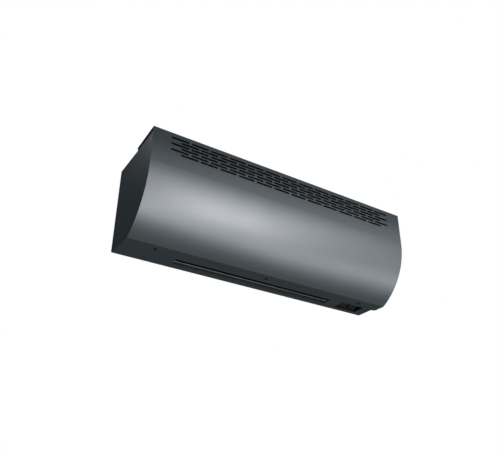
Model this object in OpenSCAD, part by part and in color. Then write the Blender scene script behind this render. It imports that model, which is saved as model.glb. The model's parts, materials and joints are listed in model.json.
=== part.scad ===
/* [Casing] */
// Length of the casing, end to end
casing_l = 600; // [580:1:680]
// Height of the chassis where it meets the wall
chassis_h = 179; // [177:1:190]
// Depth from the wall to the flat front
casing_d = 154.5; // [152:0.5:165]
// Thickness of the casing sheet
sheet_t = 1; // [0.8:0.1:1.2]
// How far the end panels stand inside the ends of the cover
end_reveal = 0.5; // [0.2:0.1:1]
// Width of the folded flanges that the sheets are welded by
weld_flange = 10; // [8:0.5:12]

/* [Front cover] */
// Height of the cover's top edge above the chassis
cover_rise = 11; // [9.5:0.5:14]
// Fall of the top flange towards the wall
flange_fall = 4; // [2:0.5:5]
// Distance from the wall to the rear edge of the top flange
flange_rear_d = 80; // [76:1:84]
// Height above the underside where the flat front starts to curve in
arc_h = 118; // [112:1:124]
// Distance from the wall to the crease under the front
crease_d = 80; // [78:1:84]
// Distance from the wall to the rear edge of the lip
lip_rear_d = 53; // [52:0.5:56]
// Drop of the lip below the chassis underside
lip_drop = 5; // [4:0.5:6]
// Clearance between the cover and the end panels
cover_gap = 0.3; // [0.2:0.1:0.6]

/* [Intake slots] */
// Length of one slot
slot_l = 36; // [30:1:37]
// Height of one slot
slot_h = 3.5; // [2.5:0.1:4]
// Spacing of the slots along a row
slot_pitch = 40.9; // [39:0.1:44]
// Spacing of the rows
row_pitch = 6.5; // [5.5:0.1:7]
// Number of rows
row_count = 6; // [2:1:7]
// Distance from the cover's top edge to the first row
first_row_d = 10.5; // [6:0.5:12]
// Least plain margin at each end of a row
slot_margin = 35; // [20:1:60]

/* [Outlet] */
// Length of the bay at each end: the motor's at the left, the wiring's at the right
bay_l = 115; // [112:1:125]
// Distance from the wall to the rear edge of the outlet
outlet_rear_d = 12; // [11:0.5:14]
// Width of the sheet between the outlet and the step that carries the lip
outlet_edge_w = 3; // [2.5:0.5:4]
// Height of the folded edge behind the outlet
hem_h = 9; // [7:0.5:11]
// Radius of the guard rods
guard_r = 1.25; // [1:0.05:1.5]
// Distance from the wall to the rear guard rod
guard_rear_d = 25.5; // [24:0.5:27]
// Spacing of the guard rods
guard_pitch = 12.5; // [11:0.5:13]

/* [Cross-flow fan] */
// Distance from the wall to the fan axis
fan_d = 80; // [79:0.5:82]
// Height of the fan axis above the underside
fan_h = 105; // [103:0.5:107]
// Radius of the impeller
impeller_r = 42; // [38:0.5:42.5]
// Clearance between the impeller and each end plate of the duct
impeller_end_gap = 7; // [6:0.5:8]
// Number of blades
blade_count = 30; // [24:1:34]
// Number of bays between the discs
bay_count = 3; // [1:1:4]
// Radius of the shafts
shaft_r = 4; // [3.5:0.1:4.2]
// Running clearance of a shaft in its hole
shaft_fit = 0.05; // [0.02:0.01:0.09]

/* [Motor] */
// Length of the laminated core along the shaft
core_l = 24; // [20:1:28]
// Width of the core
core_w = 60; // [58:1:64]
// Radius of the rotor
rotor_r = 16; // [14:0.5:16.5]
// Air gap round the rotor
air_gap = 0.5; // [0.3:0.1:0.6]
// Depth of one bearing bridge along the shaft
bridge_l = 14; // [13:0.5:16]
// Thickness of the rubber dampers
damper_t = 5; // [4:0.5:6]

/* [Heater] */
// Radius of a heating tube
tube_r = 4; // [3.5:0.1:4.2]
// Spacing of the two legs of a heating tube
leg_pitch = 16; // [15:0.5:17]
// Height of the lower heating tube above the underside
heater_h = 27; // [26:0.5:29]
// Height from the lower to the upper heating tube
heater_rise = 18; // [17:0.5:19]
// Distance from the wall to the rear legs
heater_rear_d = 22; // [21:0.5:23]

/* [Switches] */
// Length of the switch recess
recess_l = 57; // [56:0.5:60]
// Width of the switch recess
recess_w = 33; // [32:0.5:34]
// Depth of the switch recess
recess_depth = 7; // [6:0.5:8]
// Distance from the cover's end to the recess
recess_end_d = 25; // [23:0.5:28]
// Distance from the wall to the middle of the recess
recess_mid_d = 28.5; // [28:0.5:29.5]
// Width of one rocker
rocker_w = 19; // [17:0.5:19.5]
// Travel of a rocker from stop to stop
rocker_travel_angle = 22; // [16:1:24]

/* [Wall fixing] */
// Distance from each end of the casing to the wall screws
wall_hole_end_d = 20; // [17:1:25]
// Spacing of the wall screws up the wall
wall_hole_span_h = 110; // [100:1:120]
// Radius of the wall screw holes
wall_hole_r = 2.75; // [2.25:0.25:3.25]
// Radius of the hole that the mains cable passes through
cable_r = 5; // [4:0.5:6]

/* [Hidden] */

$fn = 48;
arc_facets = 180;
slot_facets = 24;
hex_sides = 6;
wire_sides = 8;
wire_ref = [1, 1, 0];
// Every cut runs past the face that it leaves by this much
overrun = 1;

// Levels and planes of the casing, with the origin in the middle of the wall face
half_l = casing_l / 2;
z_low = -chassis_h / 2;
z_top = chassis_h / 2;
lip_z = z_low - lip_drop;
cover_top_z = z_top + cover_rise;
end_out = half_l - end_reveal;
end_in = end_out - sheet_t;
fold_gap = 0.3;
seat_gap = 0.05;
front_run = casing_d - crease_d;
arc_r = (pow(arc_h + lip_drop, 2) + pow(front_run, 2)) / (2 * front_run);

// Bottom sheet: it steps down to carry the lip of the cover
joggle_setback = 3;
joggle_d = lip_rear_d - joggle_setback;
joggle_front_d = crease_d - joggle_setback;
lip_screw_d = (lip_rear_d + joggle_front_d) / 2;
outlet_front_d = joggle_d - outlet_edge_w;
lip_screw_end_d = 60;
screw_head_r = 3;
screw_sink = 0.5;
countersink_r = screw_head_r + screw_sink;
screw_shank_r = 1.5;
screw_l = 8;
screw_fit = 0.1;
socket_r = 1.2;
socket_depth = 1;
clip_l = 10;
clip_w = 12;
clip_t = 2.5;

// Top sheet, the rail that the cover hangs on and the foam seals at its ends
top_sheet_d = 108;
rail_web_d = 92;
rail_foot = 12;
rail_leg = 10;
seal_t = 6;

// Duct: two end plates, the scroll behind the impeller and the tongue before it
plate_t = 1.2;
plate_cover_gap = 3;
duct_half = half_l - bay_l;
bay_face = duct_half + plate_t;
scroll_gap = 4;
scroll_start_angle = 70;
scroll_end_angle = -25;
scroll_end_clear = 4.6;
scroll_lap = 5;
scroll_steps = 19;
tongue_gap = 5;
tongue_angle = -72;
tongue_reach_d = 118;
tongue_drop = 22;
tongue_edge = 6;
tongue_foot_inset = 1;
guard_lap = 6;
guard_notch_gap = 0.3;

// Impeller and its bearings
fan_y = -fan_d;
fan_z = z_low + fan_h;
impeller_half = duct_half - impeller_end_gap;
disc_t = 2;
blade_t = 0.8;
blade_depth = 9;
blade_arc_r = 9;
blade_angle = 25;
blade_sag_r = 8;
hub_flange_r = 14;
hub_flange_t = 2;
hub_r = 9;
hub_l = 14;
grub_r = 2;
bush_r = 7;
bush_l = 8;
bush_gap = 1;
damper_r = 13;
cup_wall = 1;
cup_flange_r = 20;
cup_l = 10;
cup_screw_count = 3;
cup_screw_circle_r = 17;
small_screw_r = 1.5;
small_head_r = 2.8;
small_head_h = 1.8;
small_screw_l = 4;
shaft_overhang = 2;

// Motor, from the left duct plate outwards
motor_screw_span = 24;
motor_screw_r = 2;
motor_head_r = 3.5;
motor_head_h = 3;
motor_nut_r = 3.8;
motor_nut_h = 2.4;
damper_out_r = 6;
core_low = 30;
core_high = 48;
window_w = 34;
window_low = 21;
yoke_h = 13;
bobbin_gap = 0.3;
bobbin_wall = 1.5;
coil_t = 10;
ring_r = 13.5;
ring_l = 4;
bridge_bar_t = 5;
bridge_bar_w = 18;
bridge_foot = 10;
boss_r = 9;
boss_l = 8;
motor_bush_r = 6;
bridge_x0 = bay_face + damper_t;
core_x0 = bridge_x0 + bridge_l;
core_x1 = core_x0 + core_l;
bridge_x1 = core_x1 + bridge_l;
vent_hub_r = 7;
vent_hub_l = 10;
vent_gap = 6;
vent_r = 24;
vent_blade_t = 1.2;
vent_blade_count = 6;
vent_angle = 35;
shaft_hole_r = 11;

// Heater
bend_inset = 25;
bend_x = duct_half - bend_inset;
tube_end = 18;
stud_r = 1.8;
stud_l = 7;
bushing_r = 6;
bushing_l = 18;
collar_r = 7.5;
collar_t = 4;
heater_nut_t = 5;
bracket_t = 1.5;
bracket_edge = 8;
bracket_places_share = [-0.65, 0.25];
tube_clear = 0.3;
bracket_gap = 0.2;
low_leg_z = z_low + heater_h;
high_leg_z = low_leg_z + heater_rise;
rear_leg_y = -heater_rear_d;
front_leg_y = rear_leg_y - leg_pitch;

// Thermal cut-out on the right duct plate
cutout_d = 33;
cutout_h = 70;
cutout_r = 8;
cutout_l = 10;
cutout_plate_t = 1;
cutout_ear_span = 12;
cutout_ear_r = 4;
blade_term_w = 6.3;
blade_term_t = 0.8;
blade_term_l = 8;
cutout_term_span = 4;

// Switches
tray_wall = 1.2;
tray_flange = 3;
tray_gap = 0.2;
recess_mid_x = half_l - recess_end_d - recess_l / 2;
recess_mid_y = -recess_mid_d;
switch_pitch = 27.5;
bezel_w = 26;
bezel_l = 31;
bezel_t = 1.8;
switch_wall = 1.6;
rocker_gap = 0.4;
rocker_r = 11.7;
rocker_sweep_gap = 0.3;
pivot_h = 2.5;
pin_r = 1.5;
pin_l = 1.4;
cavity_top = 10;
switch_top = 18;
rocker_valley = 4;
rocker_edge = 6.4;
rocker_back = 1;
rocker_stem_w = 4;
rocker_stem_h = 7;
rest_angle = -rocker_travel_angle / 2;
tray_floor_z = z_low + recess_depth;
pivot_z = tray_floor_z + pivot_h;
switch_top_z = pivot_z + switch_top;
term_span = 8;
switch_hole_l = rocker_w + 2 * (rocker_gap + switch_wall + tray_gap);
switch_hole_w = 2 * (rocker_r + rocker_sweep_gap + switch_wall + tray_gap);

// Terminal block, mains inlet, earth and wiring
loom_d = 10;
loom_top_d = 21;
loom_r = 3;
loom_bend_r = 8;
loom_z = z_top - loom_top_d;
grommet_lip = 1.2;
grommet_wall = 2;
grommet_gap = 0.1;
block_l = 56;
block_w = 18;
block_h = 18;
block_rear_d = 54;
pole_count = 5;
block_screw_share = 0.4;
pole_r = 2.4;
clamp_r = 2.2;
clamp_sink = 1;
cable_end_d = 55;
cable_x = half_l - cable_end_d;
cable_h = 60;
cable_wall = 3;
cable_flange = 3;
cable_flange_t = 2.5;
earth_off = 18;
earth_x = bay_face + earth_off;
earth_d = 30;
earth_r = 2;
earth_l = 12;
earth_nut_r = 3.8;
earth_nut_h = 3.2;
earth_washer_r = 5;
earth_washer_t = 1;
lead_r = 1.2;
lead_rise = 24;
lead_gap = 0.3;

// Height of the cover's top flange at a distance d from the wall
function flange_z(d) = cover_top_z - flange_fall * (casing_d - d) / (casing_d - flange_rear_d);

// Point i of the scroll, moved outwards by off
scroll_r0 = impeller_r + scroll_gap;
scroll_r1 = (fan_d - outlet_rear_d - scroll_end_clear) / cos(scroll_end_angle);
function scroll_point(i, off) =
    let (share = i / scroll_steps,
        a = scroll_start_angle + (scroll_end_angle - scroll_start_angle) * share,
        r = scroll_r0 * pow(scroll_r1 / scroll_r0, share) + off)
    [fan_y + r * cos(a), fan_z + r * sin(a)];

// Rear wall of the duct below the scroll: its y at height z
duct_low = [sheet_t - outlet_rear_d, z_low + hem_h];
duct_high = scroll_point(scroll_steps, 0);
function duct_rear_y(z) =
    duct_low[0] + (duct_high[0] - duct_low[0]) * (z - duct_low[1]) / (duct_high[1] - duct_low[1]);

graphite = "#6f7679";
dark_steel = "#3b4043";
zinc = "#aab0b4";
black = "#15171a";
steel = "#c3c7ca";
brass = "#c9a850";
copper = "#b46a3c";
rubber_grey = "#26292c";

// A box between two opposite corners
module block(low, high) {
    translate(low) cube(high - low);
}

// A section drawn in the wall-to-front and height directions, run along the casing
module along_x(x0, x1) {
    translate([x0, 0, 0]) rotate([90, 0, 90]) linear_extrude(x1 - x0) children();
}

// A round bar along the casing
module bar_x(x0, x1, y, z, r) {
    translate([x0, y, z]) rotate([0, 90, 0]) cylinder(h = x1 - x0, r = r);
}

// A round bar towards the front, from y1 to y0
module bar_y(y0, y1, x, z, r) {
    translate([x, y1, z]) rotate([90, 0, 0]) cylinder(h = y1 - y0, r = r);
}

// Unit vector along v
function unit(v) = v / norm(v);

// A wire along a list of points: one tube with a ring of corners at each point
module wire(points, r) {
    last = len(points) - 1;
    rings = [for (i = [0 : last])
        let (along = unit(points[min(i + 1, last)] - points[max(i - 1, 0)]),
            u = unit(cross(along, wire_ref)),
            v = cross(along, u))
        for (k = [0 : wire_sides - 1])
            points[i] + r * (u * cos(k * 360 / wire_sides) + v * sin(k * 360 / wire_sides))];
    sides = [for (i = [0 : last - 1], k = [0 : wire_sides - 1])
        let (a = i * wire_sides + k,
            b = i * wire_sides + (k + 1) % wire_sides)
        each [[a, b, a + wire_sides], [b, b + wire_sides, a + wire_sides]]];
    caps = [for (k = [1 : wire_sides - 2])
        each [[0, k + 1, k], [last * wire_sides, last * wire_sides + k, last * wire_sides + k + 1]]];
    polyhedron(rings, concat(sides, caps));
}

// A folded sheet seen on edge, through a list of points on its middle line
module folded(points, t) {
    for (i = [1 : len(points) - 1]) {
        d = points[i] - points[i - 1];
        translate(points[i - 1])
            rotate(atan2(d[1], d[0]))
            translate([0, -t / 2])
            square([norm(d), t]);
    }
    for (i = [1 : len(points) - 2])
        translate(points[i]) circle(d = t, $fn = slot_facets);
}

// Cross-section of the space behind the cover's front
module front_area(inset) {
    intersection() {
        translate([-casing_d + arc_r, z_low + arc_h]) circle(r = arc_r - inset, $fn = arc_facets);
        translate([-casing_d, lip_z]) square([casing_d - crease_d + 2 * inset, arc_h + lip_drop]);
    }
    translate([inset - crease_d, lip_z]) square([crease_d - inset, arc_h + lip_drop]);
    translate([-casing_d + inset, z_low + arc_h])
        square([casing_d - inset, chassis_h - arc_h + cover_rise]);
}

module cover_section() {
    translate([-casing_d, z_low + arc_h]) square([sheet_t, chassis_h - arc_h + cover_rise]);
    intersection() {
        translate([-casing_d + arc_r, z_low + arc_h]) difference() {
            circle(r = arc_r, $fn = arc_facets);
            circle(r = arc_r - sheet_t, $fn = arc_facets);
        }
        translate([-casing_d, lip_z]) square([front_run, arc_h + lip_drop]);
    }
    translate([-crease_d - sheet_t, lip_z]) intersection() {
        square([crease_d + sheet_t - lip_rear_d, sheet_t]);
        translate([sheet_t + crease_d - casing_d + arc_r, lip_drop + arc_h])
            circle(r = arc_r, $fn = arc_facets);
    }
    polygon([
        [-casing_d, cover_top_z],
        [-flange_rear_d, flange_z(flange_rear_d)],
        [-flange_rear_d, flange_z(flange_rear_d) - sheet_t],
        [-casing_d, cover_top_z - sheet_t]]);
}

module slot() {
    square([slot_l - slot_h, slot_h], center = true);
    for (side = [-1, 1])
        translate([side * (slot_l - slot_h) / 2, 0]) circle(d = slot_h, $fn = slot_facets);
}

module slot_rows() {
    full = floor((casing_l - 2 * slot_margin + slot_pitch - slot_l) / slot_pitch);
    for (row = [0 : row_count - 1]) {
        count = full - row % 2;
        z = cover_top_z - first_row_d - row * row_pitch;
        for (i = [0 : count - 1])
            translate([(i - (count - 1) / 2) * slot_pitch, z]) slot();
    }
}

// Countersunk hole through the lip and the sheet above it
module lip_screw_places() {
    for (place = [-1, 0, 1])
        translate([place * (half_l - lip_screw_end_d), -lip_screw_d, lip_z]) children();
}

module lip_countersink() {
    cone_h = countersink_r - screw_shank_r - screw_fit;
    translate([0, 0, -overrun]) cylinder(h = overrun, r = countersink_r);
    cylinder(h = cone_h, r1 = countersink_r, r2 = screw_shank_r + screw_fit);
    cylinder(h = screw_l, r = screw_shank_r + screw_fit);
}

module front_cover() {
    color(graphite) difference() {
        along_x(-half_l, half_l) cover_section();
        translate([0, sheet_t + overrun - casing_d, 0])
            rotate([90, 0, 0])
            linear_extrude(sheet_t + 2 * overrun) slot_rows();
        lip_screw_places() lip_countersink();
    }
}

module wall_holes() {
    for (sx = [-1, 1], sz = [-1, 1])
        translate([sx * (half_l - wall_hole_end_d), -sheet_t - overrun, sz * wall_hole_span_h / 2])
            rotate([-90, 0, 0]) cylinder(h = sheet_t + 2 * overrun, r = wall_hole_r);
}

module back_panel() {
    color(graphite) difference() {
        union() {
            block([-end_in, -sheet_t, z_low], [end_in, 0, z_top]);
            block([-end_in, -top_sheet_d, z_top - sheet_t], [end_in, 0, z_top]);
        }
        wall_holes();
        translate([cable_x, -sheet_t - overrun, z_low + cable_h])
            rotate([-90, 0, 0]) cylinder(h = sheet_t + 2 * overrun, r = cable_r + cable_wall);
    }
}

module bottom_panel() {
    tray_l = recess_l + 2 * (tray_wall + tray_gap);
    tray_w = recess_w + 2 * (tray_wall + tray_gap);
    rear_half = end_in - weld_flange - fold_gap;
    color(graphite) difference() {
        union() {
            block([-end_in, -joggle_d, z_low], [end_in, -sheet_t, z_low + sheet_t]);
            block([-end_in, -joggle_d, lip_z + sheet_t], [end_in, sheet_t - joggle_d, z_low + sheet_t]);
            block([-end_in, -joggle_front_d, lip_z + sheet_t],
                [end_in, sheet_t - joggle_d, lip_z + 2 * sheet_t]);
            block([-rear_half, -2 * sheet_t, z_low], [rear_half, -sheet_t, z_low + weld_flange]);
            block([-duct_half, -outlet_rear_d, z_low],
                [duct_half, sheet_t - outlet_rear_d, z_low + hem_h]);
        }
        block([-duct_half, -outlet_front_d, z_low - overrun],
            [duct_half, -outlet_rear_d, z_low + sheet_t + overrun]);
        block([recess_mid_x - tray_l / 2, recess_mid_y - tray_w / 2, z_low - overrun],
            [recess_mid_x + tray_l / 2, recess_mid_y + tray_w / 2, z_low + sheet_t + overrun]);
        lip_screw_places() lip_countersink();
    }
}

// End panel on the side given by the sign
module side_panel(side) {
    x0 = side < 0 ? -end_out : end_in;
    inner = side * end_in;
    fold = side * (end_in - weld_flange);
    color(graphite) {
        along_x(x0, x0 + sheet_t) intersection() {
            front_area(sheet_t + cover_gap);
            union() {
                translate([-casing_d, z_low]) square([casing_d, chassis_h]);
                translate([-casing_d, lip_z + sheet_t + cover_gap])
                    square([casing_d - joggle_d, chassis_h]);
            }
            translate([-casing_d, lip_z]) square([casing_d, chassis_h + lip_drop]);
        }
        block([min(inner, fold), -2 * sheet_t, z_low + sheet_t],
            [max(inner, fold), -sheet_t, z_top - sheet_t]);
        block([min(inner, fold), -top_sheet_d, z_top - 2 * sheet_t],
            [max(inner, fold), -2 * sheet_t, z_top - sheet_t]);
    }
}

module left_side_panel() {
    side_panel(-1);
}

module right_side_panel() {
    side_panel(1);
}

module cover_rail() {
    leg_d = rail_web_d - rail_leg;
    under = 1.5 * sheet_t + seat_gap;
    color(black) along_x(seal_t - end_out, end_out - seal_t) folded([
        [-leg_d, flange_z(leg_d) - under],
        [-rail_web_d, flange_z(rail_web_d) - under],
        [-rail_web_d, z_top + sheet_t / 2],
        [-rail_web_d - rail_foot, z_top + sheet_t / 2]], sheet_t);
}

module top_seals() {
    front_d = casing_d - sheet_t - cover_gap;
    color(black) for (side = [-1, 1]) {
        x0 = side < 0 ? -end_out : end_out - seal_t;
        along_x(x0, x0 + seal_t) polygon([
            [-front_d, z_top],
            [-front_d, flange_z(front_d) - sheet_t],
            [-flange_rear_d, flange_z(flange_rear_d) - sheet_t],
            [-flange_rear_d, z_top]]);
    }
}

module cover_screws() {
    head_r = screw_head_r - seat_gap;
    cone_h = head_r - screw_shank_r;
    color(dark_steel) lip_screw_places() translate([0, 0, screw_sink]) difference() {
        union() {
            cylinder(h = cone_h, r1 = head_r, r2 = screw_shank_r);
            cylinder(h = screw_l, r = screw_shank_r);
        }
        translate([0, 0, -overrun])
            cylinder(h = overrun + socket_depth, r = socket_r, $fn = hex_sides);
    }
}

module cover_clip_nuts() {
    color(zinc) lip_screw_places() translate([0, 0, 2 * sheet_t]) difference() {
        block([-clip_l / 2, -clip_w / 2, 0], [clip_l / 2, clip_w / 2, clip_t]);
        translate([0, 0, -overrun])
            cylinder(h = clip_t + 2 * overrun, r = screw_shank_r + screw_fit);
    }
}

// Cross-section of a duct end plate, with the holes that both plates share
module duct_plate_section() {
    difference() {
        intersection() {
            front_area(sheet_t + plate_cover_gap);
            translate([-casing_d, z_low + sheet_t])
                square([casing_d - 2 * sheet_t, chassis_h - 2 * sheet_t]);
        }
        translate([-loom_d, loom_z]) circle(r = loom_r + grommet_wall + grommet_gap);
        for (i = [0, 1])
            translate([-guard_rear_d - i * guard_pitch, z_low + sheet_t])
                square(2 * (2 * guard_r + guard_notch_gap), center = true);
    }
}

// Weld flanges of a duct plate, folded away from the duct on the side given by the sign
module duct_plate_flanges(side) {
    a = side * duct_half;
    b = side * (duct_half + weld_flange);
    low = z_low + weld_flange + fold_gap;
    block([min(a, b), -2 * sheet_t, low], [max(a, b), -sheet_t, z_top - sheet_t]);
    block([min(a, b), fold_gap - guard_rear_d + 2 * guard_r + guard_notch_gap, z_low + sheet_t],
        [max(a, b), -2 * sheet_t - fold_gap, z_low + 2 * sheet_t]);
}

module left_duct_plate() {
    color(zinc) {
        along_x(-bay_face, -duct_half) difference() {
            duct_plate_section();
            translate([fan_y, fan_z]) {
                circle(r = shaft_hole_r);
                for (side = [-1, 1])
                    translate([side * motor_screw_span, 0]) circle(r = motor_screw_r + screw_fit);
            }
        }
        duct_plate_flanges(-1);
    }
}

module heater_leg_places() {
    for (y = [rear_leg_y, front_leg_y], z = [low_leg_z, high_leg_z])
        translate([y, z]) children();
}

module cup_screw_places() {
    for (i = [0 : cup_screw_count - 1])
        rotate(i * 360 / cup_screw_count) translate([cup_screw_circle_r, 0]) children();
}

module cutout_ears() {
    for (side = [-1, 1])
        translate([side * cutout_ear_span, 0]) children();
}

module block_screw_places() {
    for (side = [-1, 1])
        translate([side * block_l * block_screw_share - block_rear_d - block_l / 2, loom_z]) children();
}

module right_duct_plate() {
    color(zinc) {
        along_x(duct_half, bay_face) difference() {
            duct_plate_section();
            translate([fan_y, fan_z]) {
                circle(r = bush_r + screw_fit);
                cup_screw_places() circle(r = small_screw_r + screw_fit);
            }
            heater_leg_places() circle(r = bushing_r + screw_fit);
            translate([-cutout_d, z_low + cutout_h])
                cutout_ears() circle(r = small_screw_r + screw_fit);
            block_screw_places() circle(r = small_screw_r + screw_fit);
        }
        duct_plate_flanges(1);
    }
}

module scroll_plate() {
    color(black) along_x(fold_gap - duct_half, duct_half - fold_gap) polygon(concat(
        [for (i = [0 : scroll_steps]) scroll_point(i, 0)],
        [duct_low, duct_low - [0, scroll_lap]],
        [duct_low + [sheet_t, -scroll_lap], duct_low + [sheet_t, 0]],
        [for (i = [scroll_steps : -1 : 0]) scroll_point(i, sheet_t)]));
}

module tongue_plate() {
    nose_r = impeller_r + tongue_gap;
    nose = [fan_y + nose_r * cos(tongue_angle), fan_z + nose_r * sin(tongue_angle)];
    front = [-tongue_reach_d, nose[1] - tongue_drop];
    color(black) along_x(fold_gap - duct_half, duct_half - fold_gap) difference() {
        folded([
            [-outlet_front_d - tongue_foot_inset, z_low],
            nose,
            front,
            front - [0, tongue_edge]], sheet_t);
        translate([-casing_d, z_low - sheet_t]) square([casing_d, 2 * sheet_t]);
    }
}

module outlet_guard_rods() {
    color(graphite) for (i = [0, 1])
        bar_x(-duct_half - guard_lap, duct_half + guard_lap,
            -guard_rear_d - i * guard_pitch, z_low + sheet_t + guard_r, guard_r);
}

module blade_section() {
    translate([impeller_r - blade_depth / 2, 0]) rotate(blade_angle) intersection() {
        translate([0, -blade_sag_r]) difference() {
            circle(r = blade_arc_r);
            circle(r = blade_arc_r - blade_t);
        }
        translate([-blade_depth / 2, -blade_depth / 2]) square(blade_depth);
    }
}

module fan_impeller() {
    step = (2 * impeller_half - disc_t) / bay_count;
    color(black) translate([0, fan_y, fan_z]) rotate([0, 90, 0]) {
        translate([0, 0, -impeller_half])
            linear_extrude(2 * impeller_half)
            for (i = [0 : blade_count - 1])
                rotate(i * 360 / blade_count) blade_section();
        for (i = [0 : bay_count])
            translate([0, 0, -impeller_half + i * step]) difference() {
                cylinder(h = disc_t, r = impeller_r);
                if (i == 0 || i == bay_count)
                    translate([0, 0, -overrun])
                        cylinder(h = disc_t + 2 * overrun, r = shaft_r + shaft_fit);
                else
                    translate([0, 0, -overrun])
                        cylinder(h = disc_t + 2 * overrun, r = impeller_r - blade_depth - disc_t);
            }
    }
}

// Hub that clamps the impeller's left disc to the motor shaft
module impeller_hub() {
    x0 = disc_t - impeller_half;
    color(zinc) difference() {
        union() {
            bar_x(x0, x0 + hub_flange_t, fan_y, fan_z, hub_flange_r);
            bar_x(x0, x0 + hub_l, fan_y, fan_z, hub_r);
        }
        bar_x(x0 - overrun, x0 + hub_l + overrun, fan_y, fan_z, shaft_r + shaft_fit);
        translate([x0 + (hub_l + hub_flange_t) / 2, fan_y, fan_z])
            cylinder(h = hub_r + overrun, r = grub_r + shaft_fit);
    }
}

module hub_grub_screw() {
    x0 = disc_t - impeller_half + (hub_l + hub_flange_t) / 2;
    color(dark_steel) translate([x0, fan_y, fan_z + shaft_r + shaft_fit]) difference() {
        cylinder(h = hub_r - shaft_r - shaft_fit, r = grub_r);
        translate([0, 0, hub_r - shaft_r - socket_depth])
            cylinder(h = socket_depth + overrun, r = socket_r, $fn = hex_sides);
    }
}

module stub_shaft() {
    x1 = impeller_half - disc_t;
    color(steel) {
        bar_x(x1 - hub_flange_t, x1, fan_y, fan_z, hub_flange_r);
        bar_x(x1, bay_face + bush_gap + bush_l, fan_y, fan_z, shaft_r);
    }
}

// A ring along the casing, from x0 to x1
module ring_x(x0, x1, outer_r, inner_r) {
    difference() {
        bar_x(x0, x1, fan_y, fan_z, outer_r);
        bar_x(x0 - overrun, x1 + overrun, fan_y, fan_z, inner_r);
    }
}

module end_bush() {
    color(brass)
        ring_x(bay_face + bush_gap, bay_face + bush_gap + bush_l, bush_r, shaft_r + shaft_fit);
}

module bush_damper() {
    color(rubber_grey)
        ring_x(bay_face + bush_gap, bay_face + bush_gap + bush_l, damper_r, bush_r + shaft_fit);
}

module bush_cup() {
    cup_r = damper_r + shaft_fit;
    color(zinc) difference() {
        union() {
            ring_x(bay_face, bay_face + cup_wall, cup_flange_r, cup_r);
            ring_x(bay_face, bay_face + cup_l, cup_r + cup_wall, cup_r);
            ring_x(bay_face + cup_l - cup_wall, bay_face + cup_l, cup_r, bush_r - bush_gap);
        }
        along_x(bay_face - overrun, bay_face + cup_wall + overrun)
            translate([fan_y, fan_z]) cup_screw_places() circle(r = small_screw_r + screw_fit);
    }
}

// A small pan-head screw along the casing, its head on the bay side of the face at x
module small_screw(x, y, z) {
    bar_x(x, x + small_head_h, y, z, small_head_r);
    bar_x(x - small_screw_l, x, y, z, small_screw_r);
}

module bush_cup_screws() {
    color(steel) for (i = [0 : cup_screw_count - 1]) {
        a = i * 360 / cup_screw_count;
        small_screw(bay_face + cup_wall, fan_y + cup_screw_circle_r * cos(a),
            fan_z + cup_screw_circle_r * sin(a));
    }
}

module motor_shaft() {
    color(steel) bar_x(-bridge_x1 - vent_gap - vent_hub_l - shaft_overhang,
        disc_t + hub_l - impeller_half, fan_y, fan_z, shaft_r);
}

module motor_rotor() {
    color(dark_steel) {
        ring_x(-core_x1, -core_x0, rotor_r, shaft_r + shaft_fit);
        ring_x(-core_x1 - ring_l, -core_x0 + ring_l, ring_r, shaft_r + shaft_fit);
    }
}

module motor_screw_holes(x0, x1) {
    for (side = [-1, 1])
        bar_x(x0, x1, fan_y + side * motor_screw_span, fan_z, motor_screw_r + screw_fit);
}

module motor_core() {
    color(dark_steel) difference() {
        block([-core_x1, fan_y - core_w / 2, fan_z - core_low],
            [-core_x0, fan_y + core_w / 2, fan_z + core_high]);
        bar_x(-core_x1 - overrun, -core_x0 + overrun, fan_y, fan_z, rotor_r + air_gap);
        block([-core_x1 - overrun, fan_y - window_w / 2, fan_z + window_low],
            [-core_x0 + overrun, fan_y + window_w / 2, fan_z + core_high - yoke_h]);
        motor_screw_holes(-core_x1 - overrun, -core_x0 + overrun);
    }
}

// A box round the yoke of the core, grown by g, and half_w to each side
module yoke_box(g, half_w) {
    block([-core_x1 - g, fan_y - half_w, fan_z + core_high - yoke_h - g],
        [-core_x0 + g, fan_y + half_w, fan_z + core_high + g]);
}

module coil_bobbin() {
    half_w = window_w / 2 - bobbin_gap;
    spool = bobbin_gap + bobbin_wall;
    color(black) difference() {
        yoke_box(spool + coil_t, half_w);
        difference() {
            yoke_box(spool + coil_t + overrun, half_w - bobbin_wall);
            yoke_box(spool, half_w);
        }
        yoke_box(bobbin_gap, half_w + overrun);
    }
}

module motor_coil() {
    spool = bobbin_gap + bobbin_wall;
    half_w = window_w / 2 - bobbin_gap - bobbin_wall;
    color(copper) difference() {
        yoke_box(spool + coil_t - bobbin_gap, half_w);
        yoke_box(spool, half_w + overrun);
    }
}

// Bearing bridge between the faces at x0 and x1, its bar and boss at the x1 side
module motor_bridge(x0, x1) {
    s = sign(x1 - x0);
    bar_x0 = x1 - s * bridge_bar_t;
    color(zinc) difference() {
        union() {
            block([min(bar_x0, x1), fan_y - core_w / 2, fan_z - bridge_bar_w / 2],
                [max(bar_x0, x1), fan_y + core_w / 2, fan_z + bridge_bar_w / 2]);
            for (side = [-1, 1]) {
                y = fan_y + side * (core_w - bridge_foot) / 2;
                block([min(x0, x1), y - bridge_foot / 2, fan_z - bridge_bar_w / 2],
                    [max(x0, x1), y + bridge_foot / 2, fan_z + bridge_bar_w / 2]);
            }
            bar_x(min(x1 - s * boss_l, x1), max(x1 - s * boss_l, x1), fan_y, fan_z, boss_r);
        }
        bar_x(min(x0, x1) - overrun, max(x0, x1) + overrun, fan_y, fan_z, motor_bush_r + shaft_fit);
        motor_screw_holes(min(x0, x1) - overrun, max(x0, x1) + overrun);
    }
}

module inner_motor_bridge() {
    motor_bridge(-core_x0, -bridge_x0);
}

module outer_motor_bridge() {
    motor_bridge(-core_x1, -bridge_x1);
}

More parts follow.
